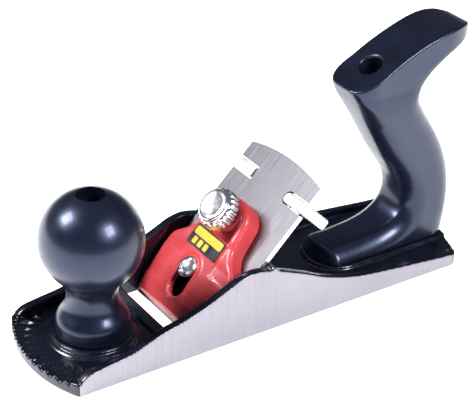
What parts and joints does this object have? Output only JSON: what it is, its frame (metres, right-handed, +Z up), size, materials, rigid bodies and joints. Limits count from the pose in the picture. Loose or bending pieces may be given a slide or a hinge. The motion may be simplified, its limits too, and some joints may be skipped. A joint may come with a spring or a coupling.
{
  "type": "hand plane",
  "caption": "Small bench plane with a ground flat sole, sloping blade under a red lever cap, ball front knob and a swept rear handle.",
  "frame": {"origin": "on the flat of the sole, on the mid-plane and half way between the ends of the body", "axes": "+X from the toe to the heel, +Z up out of the sole, +Y towards the side away from the thumb tab"},
  "size_m": [0.1951, 0.0599, 0.097],
  "materials": {
    "casting": "gloss black enamel with ground sole and sides",
    "black_plastic": "moulded gloss",
    "blade_steel": "ground",
    "red_enamel": "gloss red enamel",
    "bright_plate": "bright plate",
    "plated_steel": "zinc plate",
    "brass": "turned and knurled",
    "badge": "printed plate"
  },
  "bodies": {
    "body": {"sole_casting": "casting", "front_knob": "black_plastic", "knob_screw": "plated_steel", "knob_washer": "plated_steel", "rear_handle": "black_plastic", "handle_bolt": "plated_steel", "handle_washer": "plated_steel", "handle_nut": "plated_steel", "lever_cap_screw": "bright_plate", "depth_stud": "plated_steel", "stud_clip": "plated_steel"},
    "carriage": {"adjuster_carriage": "plated_steel", "yoke_rivet": "plated_steel", "wheel_washers": "plated_steel"},
    "wheel": {"depth_wheel": "brass"},
    "yoke": {"lateral_yoke": "bright_plate"},
    "iron": {"blade": "blade_steel"},
    "cap": {"lever_cap": "red_enamel", "lever_cap_badge": "badge"},
    "clamp": {"thumb_screw": "bright_plate"}
  },
  "joints": [
    {"name": "depth_slide", "type": "slide", "parent": "body", "child": "carriage", "axis": [0.7071, 0, 0.7071], "range_m": [-0.0012, 0.003]},
    {"name": "depth_wheel_turn", "type": "hinge", "parent": "carriage", "child": "wheel", "pos_m": [0.0133, 0, 0.02892], "axis": [0.7071, 0, 0.7071], "range_deg": [-432, 1080]},
    {"name": "blade_swing", "type": "hinge", "parent": "carriage", "child": "iron", "pos_m": [-0.01838, 0, 0.01435], "axis": [-0.7071, 0, 0.7071], "range_deg": [-1, 1]},
    {"name": "yoke_swing", "type": "hinge", "parent": "carriage", "child": "yoke", "pos_m": [0.0005, 0, 0.03041], "axis": [-0.7071, 0, 0.7071], "range_deg": [-2.4, 2.4]},
    {"name": "cap_release", "type": "slide", "parent": "body", "child": "cap", "axis": [0.7071, 0, 0.7071], "range_m": [0, 0.0074]},
    {"name": "thumb_screw_turn", "type": "hinge", "parent": "cap", "child": "clamp", "pos_m": [-0.01188, 0, 0.04207], "axis": [-0.7071, 0, 0.7071], "range_deg": [0, 1080]}
  ],
  "couplings": [
    {"joint": "depth_wheel_turn", "follows": "depth_slide", "rad_per_m": 6283.2},
    {"joint": "yoke_swing", "follows": "blade_swing", "ratio": 2.328}
  ]
}
